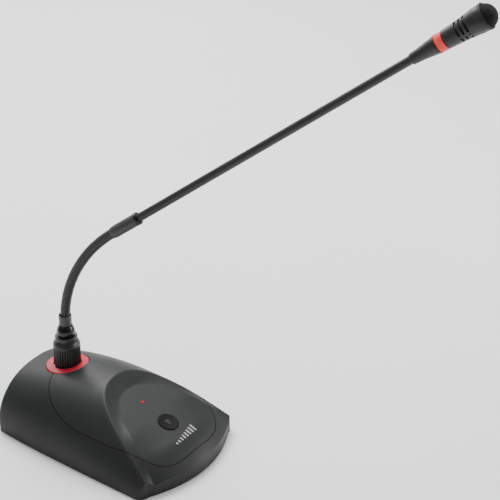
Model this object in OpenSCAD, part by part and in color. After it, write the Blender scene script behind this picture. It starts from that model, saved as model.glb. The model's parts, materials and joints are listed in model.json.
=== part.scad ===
// Gooseneck podium microphone: a weighted desk base with a talk button and a lit ring,
// and a plug-in neck made of a flexible lower part, a rigid rod and a microphone head.
// The origin is the middle of the base's underside, +Z is up and the user sits at -Y.

/* [Base] */
// Distance from the origin back to the rear wall
rear_y = 85; // [80:0.5:90]
// Half of the base's width at the rear wall
rear_half = 47.5; // [46:0.5:50]
// Half of the base's width at the front corners
front_half = 61.6; // [59:0.2:64]
// Height of the body at the rear wall
rear_h = 45.5; // [44:0.5:48]
// Height of the body at its highest point
peak_h = 58; // [56:0.5:60]
// Wall thickness of the plastic shells
wall = 2.5; // [2:0.1:2.8]
// How far the front edge bows forward between its corners
bow = 14.6; // [12:0.2:16]
// Radius of the front corners, seen from above
corner_r = 8; // [6:0.5:9]
// Gap at the seam between the top cover and the shell
seam_gap = 0.4; // [0.2:0.1:0.6]

/* [Control panel] */
// Slope of the panel face, in degrees
panel_slope = 21; // [18:0.5:24]
// Distance of the talk button in front of the origin
button_d = 52; // [46:0.5:54]
// Radius of the talk button
button_r = 8.4; // [7:0.1:9]
// Distance of the status light in front of the origin
led_d = 27; // [24:0.5:30]

/* [Socket and plug] */
// Distance of the neck's socket behind the origin
plug_y = 49; // [46:0.5:52]
// Outer radius of the lit ring round the socket
ring_r = 17.4; // [16:0.1:18]
// Radius of the plug's ribbed sleeve
sleeve_r = 11.1; // [10.6:0.1:11.2]
// Number of ribs on the plug's sleeve
sleeve_ribs = 32; // [20:1:40]
// Outer radius of the plug's metal shell
shell_r = 9.45; // [9.45:0.01:9.45]

/* [Neck] */
// Radius of the curve that the flexible part is bent to
bend_r = 109; // [95:1:125]
// Angle that the flexible part is bent through
bend_deg = 53; // [30:1:80]
// Angle between the neck's direction and straight ahead
neck_yaw = 19; // [-45:1:45]
// Outer radius of the flexible part
flex_r = 4.1; // [3.8:0.1:4.2]
// Outer radius of the rigid rod
rod_r = 3.4; // [3:0.1:3.4]
// Length of the rod between its ferrule and the head
rod_len = 258; // [180:1:320]

/* [Head] */
// Radius of the head at its front rim
rim_r = 10.3; // [10:0.1:10.8]
// Radius of the red light ring on the head
band_r = 7.1; // [6.9:0.1:7.2]

/* [Hidden] */

$fn = 64;
charcoal = [0.19, 0.19, 0.20];
panel_grey = [0.24, 0.25, 0.25];
black = [0.07, 0.07, 0.08];
steel = [0.62, 0.63, 0.65];
nickel = [0.72, 0.71, 0.68];
brass = [0.80, 0.66, 0.30];
ring_red = [0.78, 0.16, 0.22];
board_green = [0.08, 0.32, 0.18];
rubber_black = [0.10, 0.10, 0.10];

// ---- the body's surface ----
floor_z = 1;            // lower edge of the shell
skirt_z = 3;            // height of the upright strip along the sides
corner_y = -72;         // front corners
edge_fillet = 3;        // rounding of the rear edge
arch_y = 0.5;           // highest point of the arch behind the panel
panel_y = -10.4;        // rear end of the panel face
panel_h = 49.2;         // height of the panel face at its rear end
arch_rise = 0.862;      // steepness of the sloping band behind the panel
roll_d = 56;            // length of the flat part of the panel
roll_k = 0.0195;        // how sharply the panel rolls down at the front
arch_k = 10.2;          // width of the arch
panel_k = 7.7;          // width of the panel face
front_w = front_half - corner_r;

function clamp01(t) = min(1, max(0, t));
function ease(t) = clamp01(t) * clamp01(t) * (3 - 2 * clamp01(t));
function along(y) = clamp01((rear_y - y) / (rear_y - corner_y));
function body_half(y) = rear_half + (front_half - rear_half) * pow(along(y), 0.6);
function body_top(y) = rear_h + (peak_h - rear_h) * sin(90 * clamp01((rear_y - y) / rear_y));
function body_power(y) = 2.35 - 0.9 * pow(along(y), 1.6);

// Height of the plain rounded body; inset moves the whole surface inwards.
function hump_z(x, y, inset) =
    let (n = body_power(y), reach = min(1, abs(x) / (body_half(y) - inset)))
    skirt_z + (body_top(y) - inset - skirt_z) * pow(1 - pow(reach, n), 1 / n);

// The panel face: flat at first, rolling down towards the bowed front edge.
function bowed_y(x, y) = y - bow * pow(x / front_w, 2) * ease((-40 - y) / 26);
function panel_fall(d) = d * tan(panel_slope) + (d > roll_d ? roll_k * pow(d - roll_d, 2) : 0);
function panel_z(x, y) =
    y > panel_y ? panel_h + arch_rise * (y - panel_y) : panel_h - panel_fall(panel_y - bowed_y(x, y));
function arch_half(y) = arch_k * pow(max(0, arch_y - y), 0.4);
function panel_half(y) = y > panel_y ? 0 : panel_k * pow(panel_y - y, 0.45);

// Outer surface: the hump, cut by the panel and by the sloping band round the panel.
function top_z(x, y, inset) =
    let (arch = arch_half(y), face = min(panel_half(y), arch - 2), w = abs(x))
    y >= arch_y || w >= arch ? hump_z(x, y, inset)
    : w <= max(0, face) ? panel_z(x, y) - inset * 1.07
    : let (t = (w - max(0, face)) / (arch - max(0, face)))
      (panel_z(max(0, face), y) - inset * 1.07) * (1 - t) + hump_z(arch, y, inset) * t;

// Half width of the plan outline at row y, with round front corners and a soft rear edge.
function row_half(y) =
    let (front = max(0, corner_y + corner_r - y), back = max(0, y - rear_y + edge_fillet))
    body_half(y) - corner_r + sqrt(max(0, corner_r * corner_r - front * front))
        - edge_fillet + sqrt(edge_fillet * edge_fillet - back * back);
function row_bow(y) = bow * pow(clamp01((20 - y) / (20 - corner_y)), 1.5);
function rear_drop(y) =
    let (back = max(0, y - rear_y + edge_fillet))
    edge_fillet - sqrt(edge_fillet * edge_fillet - back * back);

// Row positions: even along the body, closer together round the edges.
function row_ys(n, inset) = concat(
    [for (a = [0 : 30 : 90]) rear_y - inset - edge_fillet + edge_fillet * cos(a) * (1 - 1e-6)],
    [for (i = [1 : n]) let (t = i / n)
        (rear_y - inset - edge_fillet) * (1 - t) + (corner_y + corner_r) * t],
    [for (a = [20 : 17.5 : 90]) corner_y + corner_r - (corner_r - inset) * sin(a)]);

function row_points(y, cols, inset) = [
    for (i = [0 : cols])
        let (w = row_half(y) - inset, x = -w * cos(180 * i / cols),
             yy = y - row_bow(y) * (1 - pow(x / w, 2)))
        [x, yy, max(skirt_z, top_z(x, yy, inset) - rear_drop(y))]];

// Closed solid under the surface, standing on bottom_z.
module body_solid(rows, cols, inset, bottom_z) {
    ys = row_ys(rows, inset);
    m = len(ys);
    n = cols + 1;
    top = [for (y = ys) each row_points(y, cols, inset)];
    low = [for (p = top) [p[0], p[1], bottom_z]];
    skin = [for (j = [0 : m - 2], i = [0 : n - 2])
        let (a = j * n + i) each [[a, a + n, a + 1], [a + 1, a + n, a + n + 1]]];
    rim = concat([for (i = [0 : n - 1]) i], [for (j = [1 : m - 1]) j * n + n - 1],
                 [for (i = [n - 2 : -1 : 0]) (m - 1) * n + i], [for (j = [m - 2 : -1 : 1]) j * n]);
    count = len(rim);
    sides = [for (k = [0 : count - 1])
        let (a = rim[k], b = rim[(k + 1) % count]) each [[a, b, a + m * n], [b, b + m * n, a + m * n]]];
    base = [[for (k = [count - 1 : -1 : 0]) rim[k] + m * n]];
    polyhedron(concat(top, low), concat(skin, sides, base), convexity = 4);
}

// Plan outline of the base, moved inwards by inset.
module plan(inset) {
    ys = row_ys(10, inset);
    right = [for (y = ys) [row_half(y) - inset, y]];
    w = row_half(ys[len(ys) - 1]) - inset;
    front = [for (i = [1 : 11])
        let (x = w * cos(180 * i / 12)) [x, corner_y + inset - bow * (1 - pow(x / w, 2))]];
    left = [for (i = [len(ys) - 1 : -1 : 0]) [-right[i][0], right[i][1]]];
    polygon(concat(right, front, left));
}

// Plan outline of the top cover: an egg with a blunter front end.
seam_half = 49.5;
seam_mid = -15;
seam_front = 64.8;
seam_back = 66;
seam_power_front = 3.4;
seam_power_back = 2.7;
module seam_plan(inset) {
    polygon([for (a = [0 : 6 : 354])
        let (n = sin(a) > 0 ? seam_power_back : seam_power_front, long = sin(a) > 0 ? seam_back : seam_front)
        [(seam_half - inset) * sign(cos(a)) * pow(abs(cos(a)), 2 / n),
         seam_mid + (long - inset) * sign(sin(a)) * pow(abs(sin(a)), 2 / n)]]);
}

module shell_wall() {
    difference() {
        body_solid(22, 30, 0, floor_z);
        body_solid(12, 16, wall, floor_z - 2);
    }
}

// Places its children on the panel's centre line, with +Z along the panel's normal.
module on_panel(d) {
    translate([0, -d, panel_z(0, -d)]) rotate([panel_slope, 0, 0]) children();
}
module at_plug() {
    translate([0, plug_y, 0]) children();
}
module tube(r_out, r_in, z0, z1) {
    difference() {
        translate([0, 0, z0]) cylinder(r = r_out, h = z1 - z0);
        translate([0, 0, z0 - 1]) cylinder(r = r_in, h = z1 - z0 + 2);
    }
}
// A pan-head screw that points down, with its head's underside at z = 0.
module screw(r, length, head_r, head_h) {
    translate([0, 0, -length]) cylinder(r = r, h = length);
    difference() {
        cylinder(r = head_r, h = head_h);
        for (a = [0, 90])
            rotate(a) translate([-head_r * 0.6, -0.3, head_h - 0.6]) cube([head_r * 1.2, 0.6, 1]);
    }
}

// ---- base, outside ----
ring_hole_r = ring_r + 0.5;
output_z = 22;
output_hole_r = 11.9;
boss_r = 4.4;
pilot_r = 1.25;
base_screw_r = 1.2;
boss_top = 16;
boss_places = [[-40, 70], [40, 70], [-50, -52], [50, -52]];
post_places = [[-36, -20], [36, -20], [-36, 29], [36, 29]];
post_out_r = 3.2;
screw_places = concat(boss_places, post_places);
rib_t = 1.6;
rib_h = 5;
function rib_len(p) = body_half(p[1]) - wall * 0.6 - abs(p[0]);
pad_t = 1.2;
pad_inset = 5;
pad_hole_r = 4.2;
plate_t = 2;
plate_z = pad_t + plate_t;
screw_sink = 1.2;       // depth of the counterbores in the bottom plate

module base_shell() {
    color(charcoal) difference() {
        union() {
            difference() {
                shell_wall();
                linear_extrude(80) seam_plan(0);
                at_plug() cylinder(r = ring_hole_r, h = 80);
            }
            for (p = boss_places) {
                translate([p[0], p[1], plate_z]) cylinder(r = boss_r, h = boss_top - plate_z);
                translate([p[0] > 0 ? p[0] : p[0] - rib_len(p), p[1] - rib_t / 2, plate_z])
                    cube([rib_len(p), rib_t, rib_h]);
            }
        }
        translate([0, rear_y + 1, output_z]) rotate([90, 0, 0]) cylinder(r = output_hole_r, h = 8);
        for (p = boss_places)
            translate([p[0], p[1], plate_z - 1]) cylinder(r = pilot_r, h = boss_top - plate_z - 1);
        for (p = output_screw_places)
            translate([p[0], rear_y + 1, output_z + p[1]]) rotate([90, 0, 0])
                cylinder(r = output_screw_r + 0.05, h = 8);
    }
}

board_d = 12;           // depth of the circuit board under the panel
board_t = 1.6;
board_back = 34;
board_front = -17;
board_half = 26;
board_posts = [[-22, 29], [22, 29], [-22, -12], [22, -12]];
board_screw_r = 0.95;
post_r = 2.8;
button_hole_r = button_r + 0.35;
led_r = 1.5;
led_sink = 0.9;
led_up = (button_d - led_d) / cos(panel_slope);

module top_cover() {
    color(panel_grey) difference() {
        union() {
            difference() {
                intersection() {
                    shell_wall();
                    linear_extrude(80) seam_plan(seam_gap);
                }
                at_plug() cylinder(r = ring_hole_r, h = 80);
            }
            on_panel(button_d) for (p = board_posts)
                translate([p[0], p[1], -board_d]) cylinder(r = post_r, h = board_d - wall / 2);
            for (p = post_places) translate([p[0], p[1], plate_z])
                cylinder(r = post_out_r, h = top_z(abs(p[0]) + post_out_r, p[1], 0) - 0.5 - plate_z);
        }
        for (p = post_places)
            translate([p[0], p[1], plate_z - 1]) cylinder(r = pilot_r, h = boss_top - plate_z - 1);
        on_panel(button_d) {
            translate([0, 0, -8]) cylinder(r = button_hole_r, h = 12);
            translate([0, led_up, -8]) cylinder(r = led_r + 0.1, h = 12);
            for (p = board_posts)
                translate([p[0], p[1], -board_d - 1]) cylinder(r = board_screw_r + 0.05, h = 7);
        }
    }
}

module bottom_plate() {
    color(steel) difference() {
        translate([0, 0, pad_t]) linear_extrude(plate_t) plan(wall + 0.7);
        for (p = screw_places) translate([p[0], p[1], 0]) {
            cylinder(r = base_screw_r + 0.2, h = 9);
            cylinder(r = 2.6, h = pad_t + screw_sink);
        }
        for (p = concat(ballast_screw_places, bracket_screw_places))
            translate([p[0], p[1], 0]) cylinder(r = fix_r + 0.05, h = 9);
    }
}

module rubber_pad() {
    color(rubber_black) difference() {
        linear_extrude(pad_t) plan(pad_inset);
        for (p = screw_places) translate([p[0], p[1], -1]) cylinder(r = pad_hole_r, h = 4);
    }
}

module base_screws() {
    color(steel) for (p = screw_places)
        translate([p[0], p[1], pad_t + screw_sink]) mirror([0, 0, 1]) screw(base_screw_r, 10, 2.4, 1.1);
}

// ---- base, inside ----
ballast_half = 32;
ballast_back = 26;
ballast_front = -44;
ballast_t = 12;
ballast_screw_places = [[0, 16], [0, -34]];
fix_r = 1.5;
leg_x = 24;
bracket_t = 1.2;
bracket_half = 15;
bracket_z = 41.4;
bracket_foot = 11;
bracket_screw_places =
    [for (sx = [-1, 1], dy = [-9, 9]) [sx * (leg_x + 6.5), plug_y + dy]];

module ballast_plate() {
    color([0.35, 0.35, 0.36]) difference() {
        translate([-ballast_half, ballast_front, plate_z])
            cube([2 * ballast_half, ballast_back - ballast_front, ballast_t]);
        for (p = ballast_screw_places)
            translate([p[0], p[1], 0]) cylinder(r = fix_r + 0.05, h = 40);
    }
}

module ballast_screws() {
    color(steel) for (p = ballast_screw_places)
        translate([p[0], p[1], plate_z + ballast_t]) screw(fix_r, ballast_t + plate_t - 0.5, 2.8, 1.8);
}

// A folded steel bridge: two legs with feet, and a top plate that carries the socket.
module socket_bracket() {
    color(steel) at_plug() difference() {
        union() {
            translate([-leg_x, -bracket_half, bracket_z - bracket_t])
                cube([2 * leg_x, 2 * bracket_half, bracket_t]);
            for (sx = [-1, 1]) {
                translate([sx * leg_x - (sx > 0 ? bracket_t : 0), -bracket_half, plate_z])
                    cube([bracket_t, 2 * bracket_half, bracket_z - plate_z]);
                translate([sx > 0 ? leg_x - bracket_t : -leg_x - bracket_foot + bracket_t,
                           -bracket_half, plate_z])
                    cube([bracket_foot, 2 * bracket_half, bracket_t]);
            }
        }
        cylinder(r = socket_r + 0.1, h = 60);
        for (sx = [-1, 1])
            translate([sx * socket_screw_x, 0, bracket_z - 3]) cylinder(r = socket_screw_r + 0.05, h = 5);
        for (p = bracket_screw_places)
            translate([p[0], p[1] - plug_y, 0]) cylinder(r = fix_r + 0.05, h = 9);
    }
}

module bracket_screws() {
    color(steel) for (p = bracket_screw_places)
        translate([p[0], p[1], plate_z + bracket_t]) screw(fix_r, bracket_t + plate_t - 0.5, 2.6, 1.6);
}

// ---- socket in the base ----
socket_r = 11.7;
socket_top = 50.6;
socket_low = 29;
socket_floor = 33.5;
flange_r = 16;
flange_t = 2;
insert_r = 7.6;
insert_top = 48.2;
pin_r = 1.2;
pin_ring = 4.2;
pin_fit = 0.05;
pin_angles = [90, 210, 330];
contact_wall = 0.6;
contact_low = socket_low - 3;
contact_floor = 36;     // bottom of the hole in each contact

module at_pins() {
    for (a = pin_angles) rotate(a) translate([pin_ring, 0, 0]) children();
}

module socket_shell() {
    color(nickel) at_plug() difference() {
        union() {
            translate([0, 0, socket_low]) cylinder(r = socket_r, h = socket_top - socket_low);
            translate([0, 0, bracket_z]) cylinder(r = flange_r, h = flange_t);
        }
        translate([0, 0, socket_floor]) cylinder(r = shell_r + pin_fit, h = 30);
        translate([0, 0, socket_low - 1]) cylinder(r = insert_r + 0.05, h = 20);
        for (sx = [-1, 1])
            translate([sx * socket_screw_x, 0, bracket_z - 1]) cylinder(r = socket_screw_r + 0.05, h = 5);
    }
}

module socket_insert() {
    color(black) at_plug() difference() {
        translate([0, 0, socket_low]) cylinder(r = insert_r, h = insert_top - socket_low);
        at_pins() translate([0, 0, socket_low - 1]) cylinder(r = pin_r + contact_wall + 0.05, h = 30);
    }
}

module socket_contacts() {
    color(brass) at_plug() at_pins() difference() {
        translate([0, 0, contact_low]) cylinder(r = pin_r + contact_wall, h = insert_top - contact_low - 0.5);
        translate([0, 0, contact_floor]) cylinder(r = pin_r + pin_fit, h = 20);
    }
}

socket_screw_x = 14;
socket_screw_r = 1;
module socket_screws() {
    color(steel) at_plug() for (sx = [-1, 1])
        translate([sx * socket_screw_x, 0, bracket_z - bracket_t]) mirror([0, 0, 1])
            screw(socket_screw_r, bracket_t + 1.8, 1.9, 1.2);
}

ring_board_r = 16;
ring_board_z = bracket_z + flange_t;
ring_leg_mid = 14.4;
module ring_board() {
    color(board_green) at_plug() {
        tube(ring_board_r, socket_r + 0.3, ring_board_z, ring_board_z + 1);
        for (a = [30 : 60 : 330]) rotate(a)
            translate([12.6, -1, ring_board_z + 1]) cube([2.2, 2, 0.9]);
    }
}

// The lit ring follows the body's curve but leans less: it stands proud at the rear and lies
// lower than the cover at the front. Three legs hold it on its board.
ring_in = 12;
ring_proud = 0.5;
ring_lean = 0.06;
ring_t = 3;
ring_chamfer = 0.5;
ring_leg_r = 1.4;
function ring_z(x, y) = hump_z(x, y, 0) + ring_proud + ring_lean * (y - plug_y);
module light_ring() {
    turns = 48;
    radii = [ring_in, ring_in + 2 * ring_chamfer, ring_r - 1.4 * ring_chamfer, ring_r];
    lifts = [-ring_chamfer, 0, 0, -ring_chamfer];
    ring = [for (k = [0 : turns - 1]) let (a = 360 * k / turns) each concat(
        [for (i = [0 : 3]) let (x = radii[i] * cos(a), y = plug_y + radii[i] * sin(a))
            [x, y, ring_z(x, y) + lifts[i]]],
        [for (i = [3, 0]) let (x = radii[i] * cos(a), y = plug_y + radii[i] * sin(a))
            [x, y, ring_z(x, y) - ring_t]])];
    color(ring_red) {
        polyhedron(ring, [for (k = [0 : turns - 1], i = [0 : 5])
            let (a = 6 * k, b = 6 * ((k + 1) % turns), j = (i + 1) % 6)
            each [[a + i, b + i, a + j], [b + i, b + j, a + j]]], convexity = 4);
        for (a = [0 : 120 : 240])
            let (x = ring_leg_mid * cos(a), y = plug_y + ring_leg_mid * sin(a))
            translate([x, y, ring_board_z + 1])
                cylinder(r = ring_leg_r, h = ring_z(x, y) - ring_t / 2 - ring_board_z - 1);
    }
}

// ---- talk button and its board ----
travel = 1.2;
button_proud = 0.7;
button_dish_r = 38.6;   // radius of the hollow in the button's face
button_collar = 1.4;
switch_half = 3;
switch_t = 3.6;
switch_well = 0.8;      // thickness of the switch's floor
plunger_r = 1.75;
plunger_top = -6.4;
plunger_low = -board_d + switch_well + travel + 0.2;

module circuit_board() {
    color(board_green) on_panel(button_d) {
        difference() {
            translate([-board_half, board_front, -board_d - board_t])
                cube([2 * board_half, board_back - board_front, board_t]);
            for (p = board_posts)
                translate([p[0], p[1], -board_d - 3]) cylinder(r = board_screw_r + 0.15, h = 6);
        }
        translate([-8, 24, -board_d]) cube([5, 4, 3]);
        translate([8, 2, -board_d]) cube([6, 6, 1.2]);
        translate([-16, -6, -board_d - board_t - 2.4]) cube([9, 5, 2.4]);
    }
}

module board_screws() {
    color(steel) on_panel(button_d) for (p = board_posts)
        translate([p[0], p[1], -board_d - board_t]) mirror([0, 0, 1]) screw(board_screw_r, 6, 2, 1.3);
}

module switch_body() {
    color(black) on_panel(button_d) difference() {
        translate([-switch_half, -switch_half, -board_d])
            cube([2 * switch_half, 2 * switch_half, switch_t]);
        translate([0, 0, -board_d + switch_well]) cylinder(r = plunger_r + 0.05, h = 10);
    }
}

module switch_plunger() {
    color(black) on_panel(button_d)
        translate([0, 0, plunger_low]) cylinder(r = plunger_r, h = plunger_top - plunger_low);
}

// The cap's collar lies under the cover and keeps the button in.
module talk_button() {
    skirt = 4;
    color(black) on_panel(button_d) {
        difference() {
            translate([0, 0, -skirt]) cylinder(r = button_r, h = skirt + button_proud);
            translate([0, 0, button_proud + button_dish_r - 0.4]) sphere(r = button_dish_r, $fn = 96);
        }
        translate([0, 0, -skirt]) cylinder(r = button_r + button_collar, h = 1.2);
        translate([0, 0, plunger_top]) cylinder(r = 2.5, h = -plunger_top - skirt + 0.2);
    }
}

module status_led() {
    color(ring_red) on_panel(button_d) translate([0, led_up, 0]) {
        translate([0, 0, -5]) cylinder(r = led_r, h = 5 - led_sink);
        translate([0, 0, -led_sink]) sphere(r = led_r);
        translate([0, 0, -6]) cylinder(r = 1.9, h = 1);
        for (sx = [-1, 1]) translate([sx * 0.9, 0, -board_d]) cylinder(r = 0.25, h = board_d - 6);
    }
}

// ---- line output at the rear ----
output_flange = [26, 31];
output_screw_places = [[-9.5, 12], [9.5, -12]];
output_screw_r = 1.4;
output_bore_r = 8;
output_depth = 14;
output_len = 19;
output_insert_r = 6.95;
output_pin_r = pin_r - 0.02;
// Children are drawn with +Z pointing out of the rear wall.
module at_output() {
    translate([0, rear_y, output_z]) rotate([-90, 0, 0]) children();
}

module output_shell() {
    color(nickel) at_output() difference() {
        union() {
            translate([-output_flange[0] / 2, -output_flange[1] / 2, 0])
                cube([output_flange[0], output_flange[1], 2]);
            translate([0, 0, -output_len]) cylinder(r = output_hole_r - 0.2, h = output_len);
        }
        translate([0, 0, 2 - output_depth]) cylinder(r = output_bore_r, h = output_depth + 1);
        translate([0, 0, -output_len - 1]) cylinder(r = output_insert_r + 0.05, h = output_len);
        for (p = output_screw_places)
            translate([p[0], -p[1], -1]) cylinder(r = output_screw_r + 0.05, h = 6);
    }
}

module output_insert() {
    color(black) at_output() difference() {
        translate([0, 0, -output_len]) cylinder(r = output_insert_r, h = output_len + 1.9 - output_depth);
        at_pins() translate([0, 0, -output_len - 1]) cylinder(r = pin_r, h = 12);
    }
}

module output_pins() {
    color(brass) at_output() at_pins() {
        translate([0, 0, -output_len - 3]) cylinder(r = output_pin_r, h = output_len + 3);
        sphere(r = output_pin_r);
    }
}

module output_screws() {
    color(steel) at_output() for (p = output_screw_places)
        translate([p[0], -p[1], 2]) screw(output_screw_r, 7, 2.5, 1.3);
}

// ---- leads inside the base ----
function unit(v) = v / norm(v);
// Rings of a tube that follows a list of points.
function tube_rings(path, r, sides) = [
    for (i = [0 : len(path) - 1])
        let (a = path[max(0, i - 1)], b = path[min(len(path) - 1, i + 1)], t = unit(b - a),
             u = unit(cross(t, [1, 0.05, 0])), v = cross(t, u))
        each [for (k = [0 : sides - 1])
            path[i] + r * cos(360 * k / sides) * u + r * sin(360 * k / sides) * v]];
module lead(path, r) {
    sides = 8;
    m = len(path);
    faces = [for (j = [0 : m - 2], k = [0 : sides - 1])
        let (a = j * sides + k, b = j * sides + (k + 1) % sides)
        each [[a, a + sides, b], [b, a + sides, b + sides]]];
    caps = [[for (k = [0 : sides - 1]) k],
            [for (k = [sides - 1 : -1 : 0]) (m - 1) * sides + k]];
    polyhedron(tube_rings(path, r, sides), concat(faces, caps), convexity = 6);
}
// A curve through four guide points.
function bezier(p, n) = [for (i = [0 : n]) let (t = i / n)
    pow(1 - t, 3) * p[0] + 3 * t * pow(1 - t, 2) * p[1] + 3 * t * t * (1 - t) * p[2] + pow(t, 3) * p[3]];
lead_r = 0.7;
lead_straight = 1.5;    // soldered end of each lead, in line with its pin
lead_places = [0, -3, 3];
board_end = [0, -19.5, 29.6];
output_pin_y = rear_y - output_len - 3;

module socket_leads() {
    color(ring_red) for (k = [0 : 2])
        let (pin = [pin_ring * cos(pin_angles[k]), plug_y + pin_ring * sin(pin_angles[k]), contact_low],
             start = pin - [0, 0, lead_straight], goal = board_end + [lead_places[k] - 10, 0, 0])
        lead(concat([pin], bezier([start, start - [0, 0, 8], goal + [0, 30, -12], goal], 12)), lead_r);
}

module output_leads() {
    color(black) for (k = [0 : 2])
        let (pin = [pin_ring * cos(pin_angles[k]), output_pin_y, output_z - pin_ring * sin(pin_angles[k])],
             start = pin - [0, lead_straight, 0], goal = board_end + [lead_places[k] + 10, 0, 0])
        lead(concat([pin], bezier([start, start + [12, -20, -6], goal + [6, 40, -14], goal], 14)), lead_r);
}

// ---- plug at the foot of the neck ----
plug_low = 35.5;
plug_step = 51;
sleeve_top = 72;
nut_top = 79;
boot_top = 88.4;
ferrule_low = 88.4;
ferrule_top = 98;
core_low = 89.1;         // thicker foot of the flexible part, held in the ferrule
core_top = 93.9;
core_r = 4.35;
plug_in_r = 7.95;
plug_insert_low = 48.8;
plug_insert_t = 5.2;
plug_pin_low = 37.5;
plug_pin_len = 19;

module plug_shell() {
    color(nickel) at_plug() difference() {
        translate([0, 0, plug_low]) cylinder(r = shell_r, h = sleeve_top - 2 - plug_low);
        translate([0, 0, plug_low - 1]) cylinder(r = plug_in_r, h = sleeve_top - plug_low);
    }
}

module plug_insert() {
    color(black) at_plug() difference() {
        translate([0, 0, plug_insert_low]) cylinder(r = plug_in_r - 0.05, h = plug_insert_t);
        at_pins() translate([0, 0, 40]) cylinder(r = pin_r + 0.02, h = 20);
    }
}

module plug_pins() {
    color(brass) at_plug() at_pins() {
        translate([0, 0, plug_pin_low]) cylinder(r = pin_r, h = plug_pin_len);
        translate([0, 0, plug_pin_low]) sphere(r = pin_r);
    }
}

// The foot of the microphone cable, from the plug's pins to the flexible part.
module plug_lead() {
    low = plug_pin_low + plug_pin_len + 0.5;
    color(rubber_black) at_plug() translate([0, 0, low]) cylinder(r = wire_r, h = flex_z - 0.5 - low);
}

// Outline of the sleeve: a many-sided collar with flat-topped ribs.
module ribbed_outline(r_low, r_high, count) {
    corners = [[-0.34, r_low], [-0.2, r_high], [0.2, r_high], [0.34, r_low]];
    polygon([for (k = [0 : count - 1], c = corners)
        let (a = (k + c[0]) * 360 / count) c[1] * [cos(a), sin(a)]]);
}

// Sleeve of the plug: upright ribs between a plain foot and a plain rim.
module knurled_sleeve() {
    foot = 1;
    rim = 2;
    color(black) at_plug() difference() {
        union() {
            translate([0, 0, plug_step]) cylinder(r = sleeve_r - 0.3, h = foot);
            translate([0, 0, plug_step + foot])
                linear_extrude(sleeve_top - plug_step - foot - rim)
                ribbed_outline(sleeve_r - 0.6, sleeve_r, sleeve_ribs);
            translate([0, 0, sleeve_top - rim]) cylinder(r = sleeve_r - 0.1, h = rim);
        }
        translate([0, 0, plug_step - 1]) cylinder(r = shell_r + 0.05, h = sleeve_top - plug_step + 2);
    }
}

// Clamping nut above the sleeve: a cone that ends in a flanged rim.
module clamp_nut() {
    color(black) at_plug() rotate_extrude() polygon([
        [6.2, sleeve_top - 1.9], [shell_r - 0.2, sleeve_top - 1.9], [shell_r - 0.2, sleeve_top],
        [sleeve_r - 0.4, sleeve_top], [9.3, sleeve_top + 2.6], [8.5, sleeve_top + 2.8],
        [8.5, sleeve_top + 3.6], [9.1, sleeve_top + 3.9], [9.1, nut_top - 0.5],
        [8.6, nut_top], [6.2, nut_top]]);
}

module cable_boot() {
    color(black) at_plug() rotate_extrude() polygon([
        [4.4, nut_top - 4], [6.1, nut_top - 4], [6.1, nut_top + 0.1], [6.9, nut_top + 0.2],
        [7.45, nut_top + 2.6], [7.5, nut_top + 4.2], [7.1, nut_top + 6], [6.2, boot_top - 1.4],
        [5.6, boot_top - 0.2], [5.2, boot_top], [4.4, boot_top]]);
}

// Holds the foot of the flexible part; its bore widens upwards, where the neck starts to lean.
module lower_ferrule() {
    color(black) at_plug() rotate_extrude() polygon([
        [3.4, ferrule_low - 11], [4.35, ferrule_low - 11], [4.35, ferrule_low + 0.02],
        [4.8, ferrule_low + 0.02], [4.8, ferrule_low + 1.2], [5.2, ferrule_low + 1.6],
        [5.2, ferrule_top - 0.4], [5, ferrule_top], [4.75, ferrule_top], [4.75, core_top + 0.1],
        [core_r + 0.05, core_top + 0.1], [core_r + 0.05, core_low - 0.1], [3.4, core_low - 0.1]]);
}

// ---- flexible part: a chain of ball joints ----
flex_z = 91;            // where the curve starts, inside the lower ferrule
arc_len = bend_r * bend_deg * PI / 180;
in_ferrule = ferrule_top - flex_z;
joint_count = 8;
pitch = (arc_len - in_ferrule) / joint_count;
ball_r = 2.9;
socket_wall_gap = 0.05;
swing_gap = 0.95;       // room for each joint to turn 12 degrees from straight
wire_end = 0.8;         // each length of cable starts this far above its joint
cup_clear = ball_r + 0.3; // and stops this far below the next one
bore_r = 1.5;
wire_r = 1.2;
function joint_s(k) = in_ferrule + (k - 0.5) * pitch;

// Places its children on the neck's curve at length s, with +Z along the neck.
module on_arc(s) {
    turn = s / bend_r * 180 / PI;
    at_plug() translate([0, 0, flex_z]) rotate([0, 0, neck_yaw])
        translate([0, -bend_r * (1 - cos(turn)), bend_r * sin(turn)]) rotate([turn, 0, 0]) children();
}
module on_rod(t) {
    on_arc(arc_len) translate([0, 0, t]) children();
}
// Places its children on the straight line between two joints, +Z from s0 towards s1.
module on_chord(s0, s1) {
    half_turn = (s1 - s0) / bend_r * 90 / PI;
    on_arc((s0 + s1) / 2)
        translate([0, -bend_r * (1 - cos(half_turn)), -bend_r * sin(half_turn)]) children();
}
function chord(s0, s1) = 2 * bend_r * sin((s1 - s0) / bend_r * 90 / PI);

// One link: a ball at its lower end and a cup for the next ball at its upper end.
module flex_link(s0, s1, has_ball, has_cup) {
    span = chord(s0, s1);
    low = has_ball ? swing_gap : 0;
    on_chord(s0, s1) difference() {
        union() {
            if (has_ball) {
                sphere(r = ball_r);
                cylinder(r = 2.2, h = swing_gap + 1);
            }
            translate([0, 0, low]) cylinder(r = flex_r, h = span - low);
        }
        if (has_cup) translate([0, 0, span]) sphere(r = ball_r + socket_wall_gap);
        translate([0, 0, -ball_r - 1]) cylinder(r = bore_r, h = span + ball_r + 2);
    }
}
// The short length of microphone cable that lies inside one link.
module link_wire(s0, s1, end_gap) {
    on_chord(s0, s1) translate([0, 0, wire_end])
        cylinder(r = wire_r, h = chord(s0, s1) - wire_end - end_gap);
}

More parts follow.
